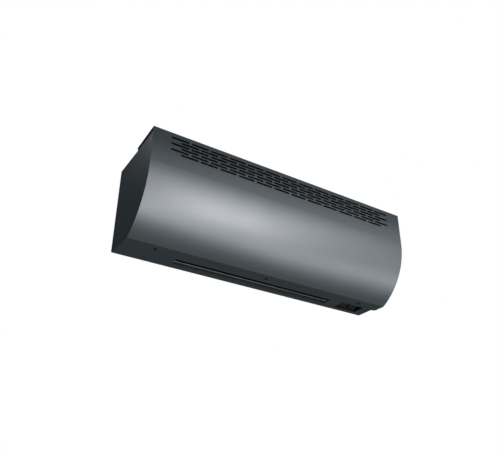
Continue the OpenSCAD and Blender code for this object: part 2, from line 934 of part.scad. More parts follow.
module motor_bushes() {
    color(brass) {
        ring_x(-bridge_x0 - boss_l, -bridge_x0, motor_bush_r, shaft_r + shaft_fit);
        ring_x(-bridge_x1, -bridge_x1 + boss_l, motor_bush_r, shaft_r + shaft_fit);
    }
}

module motor_screws() {
    color(steel) for (side = [-1, 1]) {
        y = fan_y + side * motor_screw_span;
        bar_x(-bridge_x1 - motor_head_h, -bridge_x1, y, fan_z, motor_head_r);
        bar_x(-bridge_x1, motor_nut_h - duct_half, y, fan_z, motor_screw_r);
    }
}

module motor_nuts() {
    color(steel) for (side = [-1, 1])
        translate([-duct_half, fan_y + side * motor_screw_span, fan_z]) rotate([0, 90, 0]) difference() {
            cylinder(h = motor_nut_h, r = motor_nut_r, $fn = hex_sides);
            translate([0, 0, -overrun])
                cylinder(h = motor_nut_h + 2 * overrun, r = motor_screw_r + shaft_fit);
        }
}

module motor_dampers() {
    color(rubber_grey) for (side = [-1, 1])
        translate([0, side * motor_screw_span, 0])
            ring_x(-bridge_x0, -bay_face, damper_out_r, motor_screw_r + screw_fit);
}

module motor_cooling_fan() {
    x0 = -bridge_x1 - vent_gap - vent_hub_l;
    mid = x0 + vent_hub_l / 2;
    color(black) difference() {
        union() {
            bar_x(x0, x0 + vent_hub_l, fan_y, fan_z, vent_hub_r);
            for (i = [0 : vent_blade_count - 1])
                translate([mid, fan_y, fan_z])
                    rotate([i * 360 / vent_blade_count, 0, 0])
                    rotate([0, 0, vent_angle])
                    block([-vent_hub_l / 2, -vent_blade_t / 2, vent_hub_r - vent_blade_t],
                        [vent_hub_l / 2, vent_blade_t / 2, vent_r]);
        }
        bar_x(x0 - overrun, x0 + vent_hub_l + overrun, fan_y, fan_z, shaft_r + shaft_fit);
    }
}

// A U-shaped heating tube with its legs at height z
module heater_tube(z) {
    end_x = bay_face + tube_end;
    mid_y = (rear_leg_y + front_leg_y) / 2;
    color(steel) {
        for (y = [rear_leg_y, front_leg_y]) {
            bar_x(-bend_x, end_x, y, z, tube_r);
            bar_x(end_x, end_x + stud_l, y, z, stud_r);
        }
        translate([-bend_x, mid_y, z])
            rotate([0, 0, 90])
            rotate_extrude(angle = 180)
            translate([leg_pitch / 2, 0]) circle(r = tube_r);
    }
}

module lower_heater_tube() {
    heater_tube(low_leg_z);
}

module upper_heater_tube() {
    heater_tube(high_leg_z);
}

module heater_bushings() {
    color(brass) for (y = [rear_leg_y, front_leg_y], z = [low_leg_z, high_leg_z])
        translate([duct_half, y, z]) rotate([0, 90, 0]) difference() {
            union() {
                cylinder(h = bushing_l - collar_t, r = bushing_r);
                translate([0, 0, -collar_t]) cylinder(h = collar_t, r = collar_r, $fn = hex_sides);
            }
            translate([0, 0, -collar_t - overrun])
                cylinder(h = bushing_l + 2 * overrun, r = tube_r + shaft_fit);
        }
}

module heater_nuts() {
    color(brass) for (y = [rear_leg_y, front_leg_y], z = [low_leg_z, high_leg_z])
        translate([bay_face, y, z]) rotate([0, 90, 0]) difference() {
            cylinder(h = heater_nut_t, r = collar_r, $fn = hex_sides);
            translate([0, 0, -overrun])
                cylinder(h = heater_nut_t + 2 * overrun, r = bushing_r + shaft_fit);
        }
}

module heater_brackets() {
    z0 = low_leg_z - bracket_edge;
    z1 = high_leg_z + bracket_edge;
    color(zinc) for (share = bracket_places_share) {
        x = share * duct_half;
        along_x(x, x + bracket_t) difference() {
            polygon([
                [duct_rear_y(z0) - bracket_gap, z0],
                [duct_rear_y(z1) - bracket_gap, z1],
                [front_leg_y - bracket_edge, z1],
                [front_leg_y - bracket_edge, z0]]);
            heater_leg_places() circle(r = tube_r + tube_clear);
        }
    }
}

module thermal_cutout() {
    y = -cutout_d;
    z = z_low + cutout_h;
    x1 = bay_face + cutout_plate_t + cutout_l;
    color(black) {
        along_x(bay_face, bay_face + cutout_plate_t) translate([y, z]) difference() {
            union() {
                square([2 * cutout_ear_span, 2 * cutout_ear_r], center = true);
                cutout_ears() circle(r = cutout_ear_r);
            }
            cutout_ears() circle(r = small_screw_r + screw_fit);
        }
        bar_x(bay_face + cutout_plate_t, x1, y, z, cutout_r);
        for (side = [-1, 1])
            block([x1, y + side * cutout_term_span - blade_term_t / 2, z - blade_term_w / 2],
                [x1 + blade_term_l, y + side * cutout_term_span + blade_term_t / 2,
                    z + blade_term_w / 2]);
    }
}

module cutout_screws() {
    color(steel) for (side = [-1, 1])
        small_screw(bay_face + cutout_plate_t, -cutout_d + side * cutout_ear_span,
            z_low + cutout_h);
}

module switch_places() {
    for (side = [-1, 1])
        translate([recess_mid_x + side * switch_pitch / 2, recess_mid_y, 0]) children();
}

// A box centred on x and y, between two heights
module pad(l, w, z0, z1) {
    block([-l / 2, -w / 2, z0], [l / 2, w / 2, z1]);
}

module switch_tray() {
    l = recess_l + 2 * tray_wall;
    w = recess_w + 2 * tray_wall;
    color(black) difference() {
        translate([recess_mid_x, recess_mid_y, 0]) difference() {
            union() {
                pad(l, w, z_low, tray_floor_z + tray_wall);
                pad(l + 2 * tray_flange, w + 2 * tray_flange,
                    z_low + sheet_t, z_low + sheet_t + tray_wall);
            }
            pad(recess_l, recess_w, z_low - overrun, tray_floor_z);
        }
        switch_places() pad(switch_hole_l, switch_hole_w, z_low, tray_floor_z + 2 * tray_wall);
    }
}

// Body of one rocker switch, over its place
module switch_body() {
    hole_l = rocker_w + 2 * rocker_gap;
    hole_w = 2 * (rocker_r + rocker_sweep_gap);
    color(black) difference() {
        union() {
            pad(bezel_w, bezel_l, tray_floor_z - bezel_t, tray_floor_z);
            pad(hole_l + 2 * switch_wall, hole_w + 2 * switch_wall, tray_floor_z, switch_top_z);
        }
        pad(hole_l, hole_w, tray_floor_z - bezel_t - overrun, pivot_z + cavity_top);
        bar_x(-hole_l / 2 - switch_wall - overrun, hole_l / 2 + switch_wall + overrun, 0, pivot_z,
            pin_r + shaft_fit);
    }
}

module fan_switch_body() {
    translate([recess_mid_x - switch_pitch / 2, recess_mid_y, 0]) switch_body();
}

module heat_switch_body() {
    translate([recess_mid_x + switch_pitch / 2, recess_mid_y, 0]) switch_body();
}

// One rocker at rest, with its rear end out
module rocker() {
    stem = rocker_stem_w / 2;
    translate([0, 0, pivot_z]) rotate([rest_angle, 0, 0]) {
        along_x(-rocker_w / 2, rocker_w / 2) {
            intersection() {
                circle(r = rocker_r);
                polygon([
                    [-rocker_r, -rocker_edge],
                    [0, -rocker_valley],
                    [rocker_r, -rocker_edge],
                    [rocker_r, -rocker_back],
                    [-rocker_r, -rocker_back]]);
            }
            translate([-stem, -rocker_valley + rocker_back])
                square([rocker_stem_w, rocker_valley - rocker_back + rocker_stem_h]);
        }
        bar_x(-rocker_w / 2 - pin_l, rocker_w / 2 + pin_l, 0, 0, pin_r);
    }
}

module fan_rocker() {
    color(black) translate([recess_mid_x - switch_pitch / 2, recess_mid_y, 0]) rocker();
}

module heat_rocker() {
    color(black) translate([recess_mid_x + switch_pitch / 2, recess_mid_y, 0]) rocker();
}

module switch_terminals() {
    color(brass) switch_places() for (place = [-1, 0, 1])
        translate([0, place * term_span, 0])
            pad(blade_term_w, blade_term_t, switch_top_z, switch_top_z + blade_term_l);
}

// Places of the poles, along the terminal block
module pole_places() {
    for (i = [0 : pole_count - 1])
        translate([0, -block_rear_d - block_l * (i + 1) / (pole_count + 1), 0])
            children();
}

module terminal_block() {
    mid_x = bay_face + block_w / 2;
    color("white") difference() {
        block([bay_face, -block_rear_d - block_l, loom_z - block_h / 2],
            [bay_face + block_w, -block_rear_d, loom_z + block_h / 2]);
        pole_places() translate([mid_x, 0, loom_z + block_h / 2 - clamp_sink - clamp_r])
            cylinder(h = clamp_r + clamp_sink + overrun, r = pole_r);
        along_x(bay_face - overrun, bay_face + block_w + overrun)
            block_screw_places() circle(r = small_screw_r + screw_fit);
    }
}

module terminal_clamps() {
    mid_x = bay_face + block_w / 2;
    color(brass) pole_places()
        translate([mid_x, 0, loom_z + block_h / 2 - clamp_sink - clamp_r])
        cylinder(h = clamp_r, r = clamp_r);
}

module terminal_block_screws() {
    color(steel) for (side = [-1, 1]) {
        y = side * block_l * block_screw_share - block_rear_d - block_l / 2;
        bar_x(bay_face + block_w, bay_face + block_w + small_head_h, y, loom_z, small_head_r);
        bar_x(bay_face - small_screw_l / 2, bay_face + block_w, y, loom_z, small_screw_r);
    }
}

module cable_grommet() {
    color(rubber_grey) translate([cable_x, 0, z_low + cable_h]) rotate([90, 0, 0]) difference() {
        union() {
            cylinder(h = sheet_t + cable_flange_t, r = cable_r + cable_wall - grommet_gap);
            translate([0, 0, sheet_t])
                cylinder(h = cable_flange_t, r = cable_r + cable_wall + cable_flange);
        }
        translate([0, 0, -overrun])
            cylinder(h = sheet_t + cable_flange_t + 2 * overrun, r = cable_r);
    }
}

module loom_grommets() {
    hole_r = loom_r + grommet_wall;
    color(rubber_grey) for (side = [-1, 1])
        translate([side * (duct_half + plate_t / 2), -loom_d, loom_z]) rotate([0, 90, 0]) difference() {
            union() {
                cylinder(h = plate_t, r = hole_r, center = true);
                for (s = [-1, 1])
                    translate([0, 0, s * (plate_t + grommet_lip) / 2])
                        cylinder(h = grommet_lip, r = hole_r + grommet_lip, center = true);
            }
            cylinder(h = plate_t + 2 * (grommet_lip + overrun), r = loom_r + grommet_gap,
                center = true);
        }
}

// Quarter bend of the loom, from the run along the casing towards the front
module loom_bend(x, side) {
    translate([x, -loom_d - loom_bend_r, loom_z])
        mirror([side < 0 ? 1 : 0, 0, 0])
        rotate_extrude(angle = 90)
        translate([loom_bend_r, 0]) circle(r = loom_r);
}

module wiring_loom() {
    left_x = (core_x0 + core_x1) / 2 - loom_bend_r;
    right_x = bay_face + block_w / 2 - loom_bend_r;
    coil_y = fan_y + window_w / 2;
    color(black) {
        bar_x(-left_x, right_x, -loom_d, loom_z, loom_r);
        loom_bend(-left_x, -1);
        loom_bend(right_x, 1);
        bar_y(coil_y, -loom_d - loom_bend_r, -left_x - loom_bend_r, loom_z, loom_r);
        bar_y(lead_gap - block_rear_d, -loom_d - loom_bend_r, right_x + loom_bend_r, loom_z, loom_r);
    }
}

// A lead from each outer switch blade up to a pole of the terminal block
module switch_leads() {
    z0 = switch_top_z + blade_term_l + lead_gap;
    low_z = loom_z - block_h / 2 - lead_gap;
    mid_x = bay_face + block_w / 2;
    pole_step = block_l / (pole_count + 1);
    color("firebrick") for (s = [0, 1], t = [0, 1]) {
        x = recess_mid_x + (s - 1 / 2) * switch_pitch;
        y = recess_mid_y - t * term_span;
        pole_y = -block_rear_d - pole_step * (1 + s + 2 * t);
        wire([[x, y, z0], [x, y, z0 + lead_rise], [mid_x, pole_y, low_z - lead_rise],
            [mid_x, pole_y, low_z]], lead_r);
    }
}

// Jumpers between the tubes, and the leads from them and from the cut-out to the terminal block
module heater_leads() {
    bend = 3 * lead_r;
    x0 = bay_face + tube_end + stud_l + lead_gap;
    x1 = bay_face + cutout_plate_t + cutout_l + blade_term_l + lead_gap;
    block_x = bay_face + block_w + lead_gap;
    cut_z = z_low + cutout_h;
    rear_term_y = cutout_term_span - cutout_d;
    front_term_y = -cutout_term_span - cutout_d;
    pole_step = block_l / (pole_count + 1);
    live_pole_y = -block_rear_d - 2 * pole_step;
    neutral_pole_y = -block_rear_d - (pole_count - 1) * pole_step;
    color("ivory") {
        for (y = [rear_leg_y, front_leg_y])
            wire([[x0, y, low_leg_z], [x0 + bend, y, low_leg_z],
                [x0 + bend, y, high_leg_z - 2 * lead_r - lead_gap]], lead_r);
        wire([[x0, rear_leg_y, high_leg_z], [x0 + bend, rear_leg_y, high_leg_z],
            [x1 + bend, rear_term_y, cut_z], [x1, rear_term_y, cut_z]], lead_r);
        wire([[x1, front_term_y, cut_z], [x1 + bend, front_term_y, cut_z],
            [x1 + bend, front_term_y, loom_z - lead_rise],
            [block_x + bend, live_pole_y, loom_z], [block_x, live_pole_y, loom_z]], lead_r);
        wire([[x0, front_leg_y, high_leg_z], [x0 + bend, front_leg_y, high_leg_z],
            [x0 + bend, neutral_pole_y, high_leg_z + lead_rise],
            [block_x + bend, neutral_pole_y, loom_z], [block_x, neutral_pole_y, loom_z]], lead_r);
    }
}

module earth_stud() {
    color(steel) translate([earth_x, -earth_d, z_low + sheet_t]) cylinder(h = earth_l, r = earth_r);
}

module earth_nut() {
    color(brass) translate([earth_x, -earth_d, z_low + sheet_t]) difference() {
        union() {
            cylinder(h = earth_washer_t, r = earth_washer_r);
            translate([0, 0, earth_washer_t])
                cylinder(h = earth_nut_h, r = earth_nut_r, $fn = hex_sides);
        }
        translate([0, 0, -overrun])
            cylinder(h = earth_washer_t + earth_nut_h + 2 * overrun, r = earth_r + shaft_fit);
    }
}

front_cover();
back_panel();
bottom_panel();
left_side_panel();
right_side_panel();
cover_rail();
top_seals();
cover_screws();
cover_clip_nuts();
left_duct_plate();
right_duct_plate();
scroll_plate();
tongue_plate();
outlet_guard_rods();
fan_impeller();
impeller_hub();
hub_grub_screw();
stub_shaft();
end_bush();
bush_damper();
bush_cup();
bush_cup_screws();
motor_shaft();
motor_rotor();
motor_core();
coil_bobbin();
motor_coil();
inner_motor_bridge();
outer_motor_bridge();
motor_bushes();
motor_screws();
motor_nuts();
motor_dampers();
motor_cooling_fan();
lower_heater_tube();
upper_heater_tube();
heater_bushings();
heater_nuts();
heater_brackets();
thermal_cutout();
cutout_screws();
switch_tray();
fan_switch_body();
heat_switch_body();
fan_rocker();
heat_rocker();
switch_terminals();
terminal_block();
terminal_clamps();
terminal_block_screws();
cable_grommet();
loom_grommets();
wiring_loom();
switch_leads();
heater_leads();
earth_stud();
earth_nut();
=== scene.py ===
"""A wall-hung air curtain in graphite paint, seen from below and from its left."""
import json
import math

import bpy
from mathutils import Matrix, Vector, noise


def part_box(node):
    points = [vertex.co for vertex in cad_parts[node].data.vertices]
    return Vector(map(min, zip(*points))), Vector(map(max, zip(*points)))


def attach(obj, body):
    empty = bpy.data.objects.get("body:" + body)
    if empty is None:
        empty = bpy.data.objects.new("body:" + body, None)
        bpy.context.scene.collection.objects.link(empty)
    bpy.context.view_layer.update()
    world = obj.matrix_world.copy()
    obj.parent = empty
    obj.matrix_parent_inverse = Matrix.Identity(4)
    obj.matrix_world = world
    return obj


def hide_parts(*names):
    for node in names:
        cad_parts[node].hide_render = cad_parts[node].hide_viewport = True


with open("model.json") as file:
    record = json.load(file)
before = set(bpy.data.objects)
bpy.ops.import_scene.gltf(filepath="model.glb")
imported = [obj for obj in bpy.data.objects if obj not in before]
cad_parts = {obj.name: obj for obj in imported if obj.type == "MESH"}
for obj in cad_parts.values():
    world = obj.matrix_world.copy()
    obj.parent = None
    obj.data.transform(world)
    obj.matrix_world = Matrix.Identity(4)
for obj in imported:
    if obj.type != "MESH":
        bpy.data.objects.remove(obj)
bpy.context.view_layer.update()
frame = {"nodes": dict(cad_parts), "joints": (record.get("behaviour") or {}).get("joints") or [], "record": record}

scene = bpy.context.scene
MM = 0.001
TURN = 2 * math.pi


# Shader sums

class Field:
    """A socket whose value varies over a surface, written with plain sums."""

    def __init__(self, nodes, socket):
        self.nodes, self.socket = nodes, socket

    def sum(self, operation, *others, clamp=False):
        """A Math node on this field and the others."""
        settings = {"operation": operation, "use_clamp": clamp}
        return self.nodes.node("ShaderNodeMath", settings, (self, *others))

    def __add__(self, other):
        return self.sum("ADD", other)

    __radd__ = __add__

    def __sub__(self, other):
        return self.sum("SUBTRACT", other)

    def __rsub__(self, other):
        return self * -1 + other

    def __mul__(self, other):
        return self.sum("MULTIPLY", other)

    __rmul__ = __mul__

    def clamped(self):
        """This field, held between 0 and 1."""
        return self.sum("ADD", 0.0, clamp=True)

    def waves(self, pitch):
        """A sine from 0 to 1 that repeats every pitch."""
        return (self * (TURN / pitch)).sum("SINE") * 0.5 + 0.5

    def step(self, low, high):
        """0 below low, 1 above high, and a soft edge between."""
        settings = {"interpolation_type": "SMOOTHSTEP"}
        return self.nodes.node("ShaderNodeMapRange", settings, (self, low, high))


class Nodes:
    """A node tree and the one way to add to it."""

    def __init__(self, tree, cleared=False):
        self.tree = tree
        if cleared:
            tree.nodes.clear()

    def node(self, kind, settings, sockets, output=0):
        """A node of that kind: its settings first, then its sockets' values or links."""
        made = self.tree.nodes.new(kind)
        for name, value in settings.items():
            setattr(made, name, value)
        pairs = sockets.items() if isinstance(sockets, dict) else enumerate(sockets)
        for key, value in pairs:
            self.join(made.inputs[key], value)
        return Field(self, made.outputs[output]) if made.outputs else made

    def join(self, socket, value):
        """Gives a socket a link, a colour, a vector or a number."""
        if isinstance(value, Field):
            self.tree.links.new(value.socket, socket)
        elif socket.type == "RGBA":
            socket.default_value = (*value, 1)
        else:
            socket.default_value = value

    def seen_by(self, ray):
        """1 for one kind of ray, 0 for the others."""
        return self.node("ShaderNodeLightPath", {}, {}, output=f"Is {ray} Ray")


class Finish(Nodes):
    """One surface finish: a material and the nodes that make it."""

    def __init__(self, name, **shader):
        self.material = bpy.data.materials.new(name)
        self.material.use_nodes = True
        super().__init__(self.material.node_tree)
        self.shader = self.tree.nodes["Principled BSDF"]
        self.places = self.node("ShaderNodeTexCoord", {}, {}, output="Object")
        for name, value in shader.items():
            self.feed(name.replace("_", " ").title(), value)

    def feed(self, socket, value):
        """Gives one of the shader's sockets a field or an even value."""
        self.join(self.shader.inputs[socket], value)

    def axis(self, letter):
        """The place along one axis of the part."""
        return self.node("ShaderNodeSeparateXYZ", {}, {"Vector": self.places}, output=letter)

    def noise(self, size, detail=2.0, stretch=(1, 1, 1)):
        """Soft noise whose blotches are about size metres across, stretched along each axis."""
        scale = tuple(1 / part for part in stretch)
        places = self.node("ShaderNodeVectorMath", {"operation": "MULTIPLY"}, (self.places, scale))
        sockets = {"Vector": places, "Scale": 1 / size, "Detail": detail}
        return self.node("ShaderNodeTexNoise", {}, sockets)

    def cells(self, size, output="Color"):
        """Cells about size metres across, each with its own random value."""
        sockets = {"Vector": self.places, "Scale": 1 / size}
        return self.node("ShaderNodeTexVoronoi", {}, sockets, output=output)

    def mixed(self, mask, first, second):
        """One colour where the mask is 0, the other where it is 1."""
        return self.node("ShaderNodeMix", {"data_type": "RGBA"}, {0: mask, 6: first, 7: second}, output=2)

    def toned(self, mask, colour, dark, light):
        """Base colour between two tints of one colour, darker where the mask is 0."""
        self.feed("Base Color", self.mixed(mask, tinted(colour, dark), tinted(colour, light)))

    def bump(self, height, depth):
        """Relief that is depth metres deep where height goes from 0 to 1."""
        sockets = {"Strength": 1.0, "Distance": depth, "Height": height}
        self.feed("Normal", self.node("ShaderNodeBump", {}, sockets))


def shade(hexcode):
    """Linear colour of a hex code."""
    parts = [int(hexcode[i:i + 2], 16) / 255 for i in (1, 3, 5)]
    return tuple(p / 12.92 if p <= 0.04045 else ((p + 0.055) / 1.055) ** 2.4 for p in parts)


def tinted(colour, factor):
    """A colour made lighter or darker by a factor."""
    return tuple(part * factor for part in colour)


# Paint of the casing

PAINT = shade("#73797d")
# Near-black colour of the painted shade inside the casing and round its holes
PAINTED_SHADE = shade("#08090a")
METALLIC = 0.96
ROUGH = 0.45
FLAKE = 0.3 * MM
PEEL, PEEL_DEPTH = 1.1 * MM, 0.005 * MM
EASE_SPAN, EASE_DEPTH = (-35 * MM, 80 * MM), 9 * MM

cover_low, cover_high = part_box("front_cover")
ARC_TOP = 28.5 * MM
FLANGE_FALL = 4 * MM
FLANGE_REAR = -80 * MM
SLOT_HALF, SLOT_R = 18 * MM, 1.75 * MM
SLOT_STRAIGHT = SLOT_HALF - SLOT_R
SLOT_PITCH, ROW_PITCH, ROW_COUNT = 40.9 * MM, 6.5 * MM, 6
FIRST_ROW = cover_high.z - 10.5 * MM
LAST_ROW = FIRST_ROW - (ROW_COUNT - 1) * ROW_PITCH
SLOTS_END = SLOT_HALF + 1 * MM
EVEN_REACH, ODD_REACH = 6 * SLOT_PITCH + SLOTS_END, 5.5 * SLOT_PITCH + SLOTS_END

screw_low, screw_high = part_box("cover_screws")
SCREW_PITCH = 240 * MM
SCREW_Y = (screw_low.y + screw_high.y) / 2
COUNTERSINK_R = 3.5 * MM
LIP_TOP = cover_low.z + 8 * MM


def painted(name, tone=1.0, ease=0.0):
    """Satin metallic paint: fine flakes, slow clouds and a faint orange peel.

    The ease turns the light gently from the flat top of the front into its arc."""
    finish = Finish(name, metallic=METALLIC, coat_weight=0.12, coat_roughness=0.28)
    base = tinted(PAINT, tone)
    flakes = finish.cells(FLAKE)
    clouds = finish.noise(70 * MM, detail=3.0)
    finish.colour = finish.mixed(flakes * 0.45 + clouds * 0.55, tinted(base, 0.9), tinted(base, 1.1))
    finish.feed("Base Color", finish.colour)
    finish.feed("Roughness", ROUGH - 0.02 + 0.04 * finish.noise(12 * MM))
    relief = PEEL_DEPTH * finish.noise(PEEL, detail=3.0)
    if ease:
        relief = relief + ease * finish.axis("Z").step(*EASE_SPAN)
    finish.bump(relief, 1.0)
    return finish


def slot_rim_shade(finish):
    """1 on a thin band round each slot, where a dark painted shade makes the slots look deeper, and 0 elsewhere.
    """
    along, height = finish.axis("X"), finish.axis("Z")
    to_place = along.sum("PINGPONG", SLOT_PITCH / 2)
    to_row = (height - FIRST_ROW).sum("PINGPONG", ROW_PITCH)
    odd_rows = (SLOT_PITCH / 2 - to_place, ROW_PITCH - to_row, ODD_REACH)
    rims = 0.0
    for beside, above, reach in ((to_place, to_row, EVEN_REACH), odd_rows):
        past_straight = (beside - SLOT_STRAIGHT).sum("MAXIMUM", 0.0)
        away = (past_straight * past_straight + above * above).sum("SQRT")
        near = 1 - away.step(SLOT_R + 0.15 * MM, SLOT_R + 0.5 * MM)
        rims = near * (1 - along.sum("ABSOLUTE").step(reach, reach + 1 * MM)) + rims
    above_last = height.step(LAST_ROW - 3.5 * MM, LAST_ROW - 2.5 * MM)
    below_first = 1 - height.step(FIRST_ROW + 3 * MM, FIRST_ROW + 4 * MM)
    return rims * above_last * below_first


def countersink_shade(finish):
    """1 in and close round the lip's countersunk holes, where a dark painted shade goes, and 0 elsewhere."""
    beside = finish.axis("X").sum("PINGPONG", SCREW_PITCH / 2)
    behind = finish.axis("Y") - SCREW_Y
    away = (beside * beside + behind * behind).sum("SQRT")
    in_lip = 1 - finish.axis("Z").step(LIP_TOP, LIP_TOP + 1 * MM)
    return (1 - away.step(COUNTERSINK_R, COUNTERSINK_R + 0.3 * MM)) * in_lip


def cover_paint(name):
    """The casing's paint, with painted shade: near-black, duller colour on the slots' rims, round the lip's
    countersinks and on the inside behind the slotted front.
    """
    finish = painted(name, ease=EASE_DEPTH)
    depth = finish.axis("Y") - cover_low.y
    height = finish.axis("Z")
    fall = FLANGE_FALL / (FLANGE_REAR - cover_low.y)
    under_flange = cover_high.z - depth * fall - height
    # Painted shade: the inside of the cover, behind the slotted front, turns near black so that the slots read
    # dark
    behind = depth.step(0.15 * MM, 0.35 * MM) * under_flange.step(0.3 * MM, 0.6 * MM)
    behind = behind * height.step(ARC_TOP + 8 * MM, ARC_TOP + 10 * MM)
    shade_mask = (behind + slot_rim_shade(finish) + countersink_shade(finish)).clamped()
    finish.feed("Base Color", finish.mixed(shade_mask, finish.colour, PAINTED_SHADE))
    finish.feed("Metallic", METALLIC - 0.9 * shade_mask)
    return finish


# Finishes of the other pieces

def moulded(name, colour, roughness=0.5, grain=0.5 * MM, depth=0.012 * MM):
    """Moulded plastic or rubber with a spark-eroded texture and faint flow clouds."""
    finish = Finish(name)
    clouds = finish.noise(14 * MM, detail=3.0)
    specks = finish.noise(grain, detail=4.0)
    finish.toned(clouds * 0.6 + specks * 0.4, colour, 0.75, 1.25)
    finish.feed("Roughness", roughness - 0.06 + 0.12 * specks)
    finish.bump(specks, depth)
    return finish


def galvanised(name, colour):
    """Zinc-coated sheet: flat crystals, each with its own tone, and fine rolling lines."""
    finish = Finish(name, metallic=0.95)
    crystals = finish.cells(7 * MM)
    lines = finish.noise(0.5 * MM, stretch=(30, 30, 1))
    finish.toned(crystals * 0.7 + lines * 0.3, colour, 0.78, 1.15)
    finish.feed("Roughness", 0.36 + 0.16 * crystals)
    finish.bump(lines, 0.006 * MM)
    return finish


def black_sheet(name, colour):
    """Thinly blackened sheet with rolling lines along the casing; its near-black colour also serves as painted
    shade inside the casing.
    """
    finish = Finish(name, metallic=0.3)
    lines = finish.noise(0.6 * MM, detail=3.0, stretch=(25, 1, 1))
    clouds = finish.noise(30 * MM)
    finish.toned(lines * 0.5 + clouds * 0.5, colour, 0.7, 1.3)
    finish.feed("Roughness", 0.5 + 0.12 * lines)
    finish.bump(lines, 0.008 * MM)
    return finish


def turned(name, colour, roughness, pitch=0.4 * MM):
    """Metal turned along the casing, with fine tool rings and a few dull patches."""
    finish = Finish(name, metallic=1.0)
    rings = finish.axis("X").waves(pitch)
    patches = finish.noise(6 * MM, detail=3.0)
    finish.toned(rings * 0.3 + patches * 0.7, colour, 0.82, 1.05)
    finish.feed("Roughness", roughness + 0.12 * patches)
    finish.bump(rings, 0.004 * MM)
    return finish


def blackened_screw(name, colour):
    """Black-oxide steel with rubbed patches."""
    finish = Finish(name, metallic=0.2)
    rubbed = finish.noise(1.2 * MM, detail=4.0).step(0.55, 0.7)
    finish.toned(rubbed, colour, 1, 2)
    finish.feed("Roughness", 0.55 - 0.1 * rubbed)
    finish.feed("Specular IOR Level", 0.06)
    finish.bump(finish.noise(0.4 * MM), 0.008 * MM)
    return finish


def cast(name, colour):
    """Die-cast metal with a pebbled skin."""
    finish = Finish(name, metallic=0.9)
    pebbles = finish.noise(0.8 * MM, detail=4.0)
    stains = finish.noise(9 * MM, detail=3.0)
    finish.toned(stains, colour, 0.75, 1.1)
    finish.feed("Roughness", 0.42 + 0.2 * pebbles)
    finish.bump(pebbles, 0.04 * MM)
    return finish


def laminated(name, colour):
    """A stack of thin steel sheets, seen edge on along the casing."""
    finish = Finish(name, metallic=0.85)
    sheets = finish.axis("X").waves(0.5 * MM)
    rust = finish.noise(5 * MM, detail=4.0).step(0.6, 0.75)
    clean = finish.mixed(sheets, tinted(colour, 0.5), colour)
    finish.feed("Base Color", finish.mixed(rust * 0.5, clean, shade("#6b4630")))
    finish.feed("Roughness", 0.42 + 0.3 * rust)
    finish.bump(sheets, 0.05 * MM)
    return finish


def wound(name, colour):
    """Enamelled wire laid turn by turn across the casing."""
    finish = Finish(name, metallic=0.75, coat_weight=0.5, coat_roughness=0.15)
    turns = (finish.axis("Y") + 0.25 * MM * finish.noise(4 * MM)).waves(0.55 * MM)
    clouds = finish.noise(8 * MM)
    finish.toned(turns * 0.6 + clouds * 0.4, colour, 0.45, 1.25)
    finish.feed("Roughness", 0.3 + 0.1 * clouds)
    finish.bump(turns, 0.12 * MM)
    return finish


def braided(name, colour):
    """A woven sleeve: two sets of slanting strands."""
    finish = Finish(name)
    along, across = finish.axis("X"), finish.axis("Y") + finish.axis("Z")
    weave = (along + across).waves(1.6 * MM) * (along - across).waves(1.6 * MM)
    finish.toned(weave, colour, 0.5, 1.8)
    finish.feed("Roughness", 0.75 - 0.15 * weave)
    finish.bump(weave, 0.2 * MM)
    return finish


def foam(name, colour):
    """Closed-cell foam: small pits, some of them torn open."""
    finish = Finish(name)
    pits = finish.cells(0.9 * MM, output="Distance")
    clouds = finish.noise(7 * MM, detail=4.0)
    finish.toned(pits * 0.7 + clouds * 0.3, colour, 0.5, 1.6)
    finish.feed("Roughness", 0.9 + 0.08 * clouds)
    finish.bump(pits, 0.3 * MM)
    return finish


def heat_tinted(name, colour):
    """Steel tube that heat has turned straw and blue in bands along its length."""
    finish = Finish(name, metallic=1.0)
    bands = finish.noise(45 * MM, detail=3.0, stretch=(1, 3, 3))
    straw = finish.mixed(bands.step(0.35, 0.6), colour, shade("#8a6a45"))
    finish.feed("Base Color", finish.mixed(bands.step(0.55, 0.75), straw, shade("#4d5566")))
    finish.feed("Roughness", 0.3 + 0.18 * finish.noise(3 * MM))
    finish.bump(finish.noise(0.5 * MM, stretch=(20, 1, 1)), 0.006 * MM)
    return finish


RECIPES = {
    "graphite_paint": (cover_paint,),
    "chassis_paint": (painted,),
    # The end panels take the casing paint at 0.55 of its tone: a painted shade that keeps them darker than the
    # front
    "end_paint": (painted, 0.55),
    "black_sheet": (black_sheet, shade("#0c0f11")),
    "zinc_sheet": (galvanised, shade("#a2a7aa")),
    "foam": (foam, shade("#0c0d0e")),
    "dark_screw": (blackened_screw, shade("#040405")),
    "steel": (turned, shade("#c0c2c4"), 0.24),
    "fan_black": (moulded, shade("#161719"), 0.5),
    "hub_alloy": (turned, shade("#b4b6b8"), 0.32, 0.6 * MM),
    "bush_bronze": (turned, shade("#a37b4d"), 0.36),
    "rubber_grey": (moulded, shade("#26292b"), 0.78, 0.8 * MM, 0.02 * MM),
    "lamination": (laminated, shade("#54585b")),
    "bobbin_plastic": (moulded, shade("#242526"), 0.45),
    "winding": (wound, shade("#8a4a24")),
    "die_cast": (cast, shade("#a0a3a6")),
    "vent_plastic": (moulded, shade("#232427"), 0.42),
    "heater_steel": (heat_tinted, shade("#85817c")),
    "brass": (turned, shade("#c3a254"), 0.28),
    "switch_black": (moulded, shade("#09090b"), 0.55, 0.4 * MM, 0.02 * MM),
    "rocker_black": (moulded, shade("#1a1817"), 0.4, 0.35 * MM, 0.01 * MM),
    "block_white": (moulded, shade("#c9c8c3"), 0.45, 0.8 * MM, 0.01 * MM),
    "loom_sleeve": (braided, shade("#191a1b")),
    "lead_red": (moulded, shade("#8f2a21"), 0.42, 0.6 * MM),
    "lead_white": (braided, shade("#8d8878")),
}
FINISHES = {name: make(name, *values) for name, (make, *values) in RECIPES.items()}

